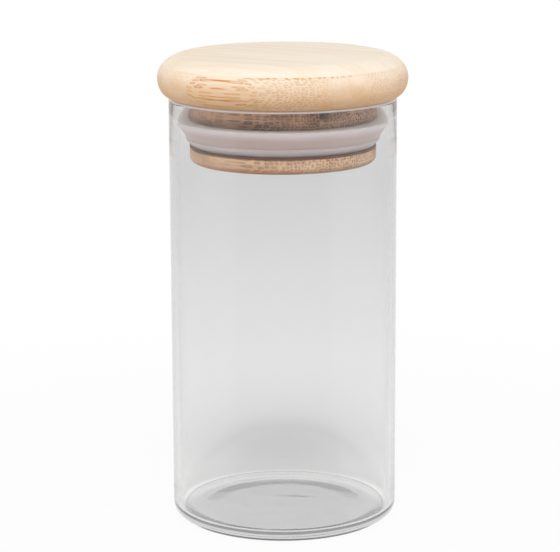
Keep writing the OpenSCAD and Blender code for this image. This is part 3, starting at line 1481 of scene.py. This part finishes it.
@dataclass
class Lamp:
    """One soft lamp that faces the object.

    Attributes:
        name: the lamp's name.
        place: where it hangs.
        size: its width and its height.
        power: its power, in watts.
        mirrored: whether glossy surfaces mirror it.
    """

    name: str
    place: Place
    size: Point
    power: float
    mirrored: bool = False

    def light(self, aim: Place) -> None:
        """Hangs the lamp and turns it to a point.

        Args:
            aim: the point that it faces.
        """
        data = bpy.data.lights.new(self.name, "AREA")
        data.shape = "RECTANGLE"
        data.size, data.size_y = self.size
        data.energy = self.power
        lamp = bpy.data.objects.new(self.name, data)
        bpy.context.scene.collection.objects.link(lamp)
        lamp.location = self.place
        towards = Vector(aim) - Vector(self.place)
        lamp.rotation_euler = towards.to_track_quat("-Z", "Y").to_euler()
        lamp.visible_camera = False
        lamp.visible_glossy = self.mirrored
        lamp.visible_transmission = False


@dataclass
class Studio:
    """The floor, the room round it, the lamps and the camera.

    A level is the strength of white light, from 0 to 1.

    Attributes:
        floor_r: the radius of the floor.
        floor_steps: how many edges it has.
        floor_z: its height, a little below the jar, which stands free of it.
        paper: how much light the floor throws back.
        near: its level next to the object.
        near_at: the distance up to which that holds, and the one where it is white.
        fill: the level of the room's soft light.
        gap: the level of the room in front of the object, which reflections show.
        gap_at: how far back a level direction points, from -1 to 1, where the gap ends and
            where the room is white.
        beyond: the level of the room seen through the glass.
        lift: what the floor has more when it is seen through the glass.
        pool: what it has more still in a ring behind the base, a painted pool of light for the
            light that the glass would gather there.
        pool_in: the radius where that begins.
        pool_out: the radius where it starts to end.
        pool_edges: half the width of the inner edge, and the width of the outer one.
        pool_behind: how far behind the axis it is full.
        camera_place: where the camera stands.
        pitch: how far it looks down, in radians.
        aside: how far it looks to the left, in radians.
        lean: how far it leans, in radians.
        lens: its focal length, in millimetres.
        sensor: the width of its sensor, in millimetres.
        clip: the nearest and the farthest distance that it sees.
        aim: the point that the lamps face.
        lamps: the lamps.
    """

    floor_r: float = 2.5
    floor_steps: int = 96
    floor_z: float = -0.0003
    paper: float = 0.88
    near: float = 0.93
    near_at: Point = (0.05, 0.3)
    fill: float = 0.36
    gap: float = 0.6
    gap_at: Point = (-0.74, -0.62)
    beyond: float = 0.8
    lift: float = 0.15
    pool: float = 0.22
    pool_in: float = 0.0265
    pool_out: float = 0.033
    pool_edges: Point = (0.001, 0.004)
    pool_behind: float = 0.01
    camera_place: Place = (0.0, -0.6563, 0.2138)
    pitch: float = 0.215
    aside: float = 0.00155
    lean: float = -0.0045
    lens: float = 149.46
    sensor: float = 36.0
    clip: Point = (0.01, 20.0)
    aim: Place = (0.0, 0.0, 0.1)
    lamps: tuple[Lamp, ...] = (
        Lamp("lamp_left", (-0.60, -0.10, 0.10), (0.6, 0.7), 1.35),
        Lamp("lamp_right", (0.60, -0.10, 0.10), (0.6, 0.7), 1.32),
        Lamp("lamp_over", (0.0, -0.42, 0.80), (0.45, 0.45), 3.5),
        Lamp("lamp_front", (0.0, -0.78, 0.56), (1.1, 0.10), 1.1, mirrored=True),
    )

    @staticmethod
    def seen(r: Recipe) -> tuple[Wire, Wire, Wire]:
        """Tells the rays apart by how they came.

        Args:
            r: the recipe that the nodes go into.

        Returns:
            Camera rays, mirrored rays and rays that have come through glass, 1 for each.
        """
        camera = r.node("ShaderNodeLightPath", None, None, "Is Camera Ray")
        through = camera.sibling("Is Transmission Ray")
        return camera, camera.sibling("Is Glossy Ray") * (1 - through), through

    def room(self, r: Recipe, direction: Wire) -> Wire:
        """What a reflection shows of the room: white all round, darker at the front.

        Args:
            r: the recipe that the nodes go into.
            direction: where the reflection looks.

        Returns:
            A level from gap to 1.
        """
        level = r.node("ShaderNodeVectorMath", {"operation": "NORMALIZE"}, {0: r.flat(direction)})
        return r.axis(level, "Y").step(*self.gap_at, (self.gap, 1.0))

    def build_world(self) -> None:
        """Makes the room: white to the eye, plain and even as a light."""
        world = bpy.data.worlds.new("studio_room")
        world.use_nodes = True
        bpy.context.scene.world = world
        r = Recipe(world.node_tree)
        camera, glossy, through = self.seen(r)
        direction = r.node("ShaderNodeTexCoord", None, None, "Generated")
        mirrored = glossy * self.room(r, direction)
        seen = camera.larger(through * self.beyond).larger(mirrored)
        plain = (1 - camera.larger(through).larger(glossy)) * self.fill
        r.finish(r.node("ShaderNodeBackground", None,
                        {"Color": grey(1.0), "Strength": seen + plain}),
                 "ShaderNodeOutputWorld")

    @staticmethod
    def glow(r: Recipe, strength: Wire) -> Wire:
        """A shader that gives off white light."""
        return r.node("ShaderNodeEmission", None, {"Color": grey(1.0), "Strength": strength})

    def pooled(self, r: Recipe, place: Wire, away: Wire) -> Wire:
        """A painted pool of light on the floor behind the glass, for the light that the glass would
        gather there.

        Args:
            r: the recipe that the nodes go into.
            place: the place on the floor.
            away: its distance from the axis.

        Returns:
            A level from 0 to pool.
        """
        inner, outer = self.pool_edges
        pool = away.step(self.pool_in - inner, self.pool_in + inner)
        behind = r.axis(place, "Y").step(0.0, self.pool_behind)
        return pool * away.step(self.pool_out + outer, self.pool_out) * behind * self.pool

    def build_floor(self) -> None:
        """Lays a round white floor that keeps the object's shadow."""
        Bench.clear()
        bpy.ops.mesh.primitive_circle_add(vertices=self.floor_steps, radius=self.floor_r,
                                          fill_type="NGON", location=(0.0, 0.0, self.floor_z))
        floor = bpy.context.active_object
        floor.name = floor.data.name = "studio_floor"
        bpy.ops.object.transform_apply(location=True)
        material, r = new_material("white_floor")
        camera, glossy, through = self.seen(r)
        place = r.node("ShaderNodeTexCoord", None, None, "Object")
        away = r.length(place)
        paper = r.node("ShaderNodeBsdfDiffuse", None, {"Color": grey(self.paper)})
        shown = camera.larger(glossy) * away.step(*self.near_at, (self.near, 1.0))
        glow = self.glow(r, camera.larger(glossy * self.room(r, place)))
        # seen through the glass the floor gives off more light: evenly by lift, and in a painted
        # pool of light behind the base
        haze = self.glow(r, through * (self.pooled(r, place, away) + self.lift))
        r.finish(r.node("ShaderNodeAddShader", None, {0: r.either(shown, paper, glow), 1: haze}))
        floor.data.materials.append(material)
        Bench.clear()

    def build_camera(self) -> None:
        """Stands the camera in front of the object, looking a little down on it."""
        data = bpy.data.cameras.new("camera")
        data.lens = self.lens
        data.sensor_width = self.sensor
        data.clip_start, data.clip_end = self.clip
        camera = bpy.data.objects.new("camera", data)
        bpy.context.scene.collection.objects.link(camera)
        turn = (Matrix.Rotation(self.aside, 4, "Z")
                @ Matrix.Rotation(math.pi / 2 - self.pitch, 4, "X")
                @ Matrix.Rotation(self.lean, 4, "Z"))
        camera.matrix_world = Matrix.Translation(self.camera_place) @ turn
        bpy.context.scene.camera = camera

    def build(self) -> None:
        """Sets up everything round the object."""
        self.build_camera()
        self.build_world()
        self.build_floor()
        for lamp in self.lamps:
            lamp.light(self.aim)
        bpy.context.scene.view_settings.view_transform = "Standard"


def main() -> None:
    """Builds the studio, the jar, the seal and the lid."""
    Studio().build()
    GlassJar().build()
    SiliconeSeal().build()
    for ply in bamboo_plies():
        ply.build()


if __name__ == "__main__":
    main()
